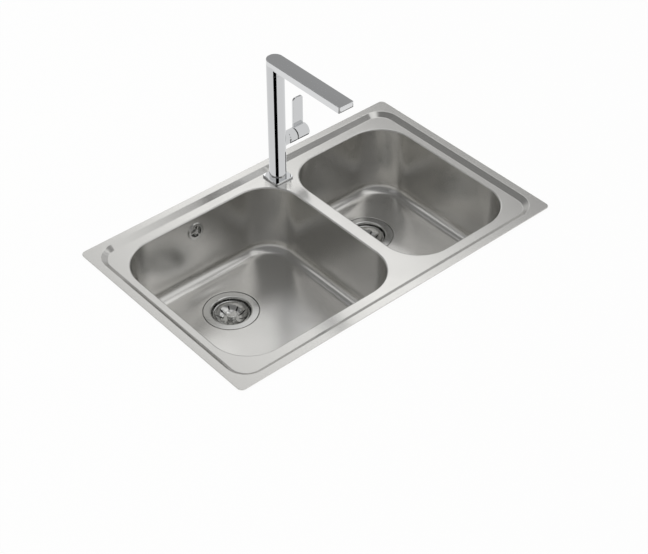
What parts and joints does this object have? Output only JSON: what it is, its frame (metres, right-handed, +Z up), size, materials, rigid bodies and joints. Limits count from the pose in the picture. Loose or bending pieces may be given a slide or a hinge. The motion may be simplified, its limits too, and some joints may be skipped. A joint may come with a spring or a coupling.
{
  "type": "double bowl kitchen sink",
  "caption": "Inset stainless kitchen sink with a main and a second bowl, lift-out strainer baskets, an overflow and a side-lever tap with a swinging spout.",
  "frame": {"origin": "centre of the plane on which the rim rests, in the middle of the sink", "axes": "+Z up, +X towards the smaller bowl, +Y towards the tap"},
  "size_m": [0.8, 0.5, 0.5486],
  "materials": {
    "stainless_sheet": "satin",
    "polished_steel": "polished",
    "steel_knob": "polished",
    "chrome": "polished",
    "zinc_steel": "zinc plated",
    "brass": "machined",
    "copper": "drawn copper",
    "foam": "closed-cell foam",
    "bitumen_pad": "matte",
    "rubber": "matte",
    "white_plastic": "moulded",
    "grey_plastic": "moulded"
  },
  "bodies": {
    "sink": {"sink_deck": "stainless_sheet", "main_bowl": "stainless_sheet", "second_bowl": "stainless_sheet", "main_bowl_pad": "bitumen_pad", "second_bowl_pad": "bitumen_pad", "rim_seal": "foam", "clip_brackets": "zinc_steel", "clip_screws": "zinc_steel", "clip_claws": "zinc_steel", "overflow_rosette": "polished_steel", "overflow_screw": "polished_steel", "overflow_seal": "rubber", "overflow_elbow": "white_plastic", "overflow_pipe": "white_plastic", "overflow_pipe_nuts": "white_plastic", "tap_base_plate": "chrome", "tap_base_seal": "rubber", "tap_column": "chrome", "tap_shank": "brass", "tap_rubber_washer": "rubber", "tap_steel_washer": "zinc_steel", "tap_nut": "brass", "inlet_tails": "copper", "mixing_cartridge": "grey_plastic", "cartridge_nut": "brass", "spout_bush": "grey_plastic", "spout_rings": "rubber", "main_strainer_body": "polished_steel", "main_flange_gasket": "rubber", "main_waste_seal": "rubber", "main_waste_body": "white_plastic", "main_waste_screw": "polished_steel", "second_strainer_body": "polished_steel", "second_flange_gasket": "rubber", "second_waste_seal": "rubber", "second_waste_body": "white_plastic", "second_waste_screw": "polished_steel"},
    "spout": {"spout": "chrome", "aerator_housing": "chrome", "aerator_insert": "grey_plastic"},
    "lever_carrier": {"lever_carrier": "grey_plastic", "lever_pin": "zinc_steel"},
    "lever": {"lever": "chrome", "lever_spindle": "zinc_steel", "lever_grub_screw": "zinc_steel"},
    "main_strainer": {"main_basket": "polished_steel", "main_basket_knob": "steel_knob", "main_basket_seal": "rubber"},
    "second_strainer": {"second_basket": "polished_steel", "second_basket_knob": "steel_knob", "second_basket_seal": "rubber"}
  },
  "joints": [
    {"name": "spout_swing", "type": "hinge", "parent": "sink", "child": "spout", "pos_m": [0.054, 0.194, 0.252], "axis": [0, 0, 1], "range_deg": [-110, 110]},
    {"name": "lever_turn", "type": "hinge", "parent": "sink", "child": "lever_carrier", "pos_m": [0.084, 0.194, 0.0825], "axis": [1, 0, 0], "range_deg": [-45, 45]},
    {"name": "lever_tilt", "type": "hinge", "parent": "lever_carrier", "child": "lever", "pos_m": [0.084, 0.194, 0.0825], "axis": [0, 1, 0], "range_deg": [0, 18]},
    {"name": "main_basket_lift", "type": "slide", "parent": "sink", "child": "main_strainer", "axis": [0, 0, 1], "range_m": [0, 0.19]},
    {"name": "second_basket_lift", "type": "slide", "parent": "sink", "child": "second_strainer", "axis": [0, 0, 1], "range_m": [0, 0.19]}
  ]
}
